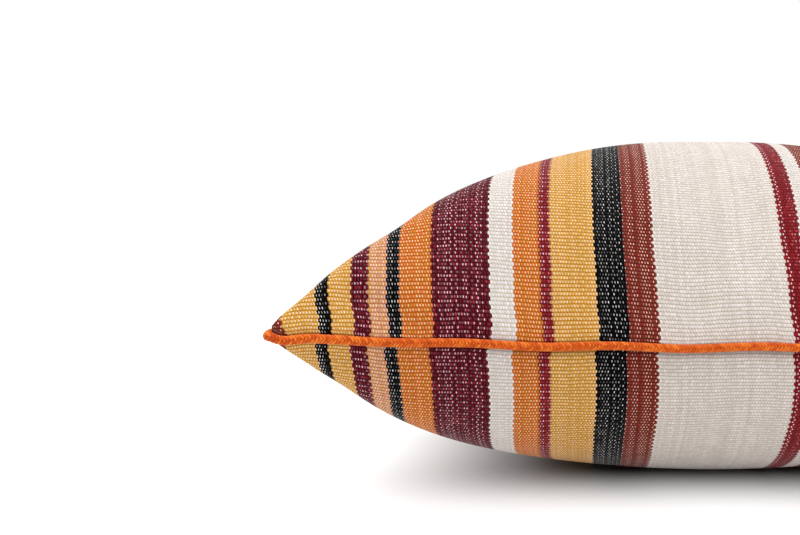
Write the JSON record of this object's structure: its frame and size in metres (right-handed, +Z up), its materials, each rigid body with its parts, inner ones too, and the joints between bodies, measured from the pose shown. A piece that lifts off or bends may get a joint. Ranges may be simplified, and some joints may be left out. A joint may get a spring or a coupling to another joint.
{
  "type": "outdoor cushion",
  "caption": "Square filled scatter cushion with a high crown, drawn-in sides and a cord in the seam, lying flat on its back.",
  "frame": {"origin": "on the surface that the cushion lies on, under its middle", "axes": "+Z up through the crown, X across the stripes, Y along the stripes; the side toward -Y is the one that faces the viewer"},
  "size_m": [0.4818, 0.4818, 0.221],
  "materials": {
    "striped_cloth": "matt warp-faced rep weave in stripes of gold, black, dark red, orange, white, rust and ivory",
    "orange_cord": "matt braided cord, bright orange"
  },
  "bodies": {
    "root": {"cushion": "striped_cloth", "piping": "orange_cord"}
  },
  "joints": []
}
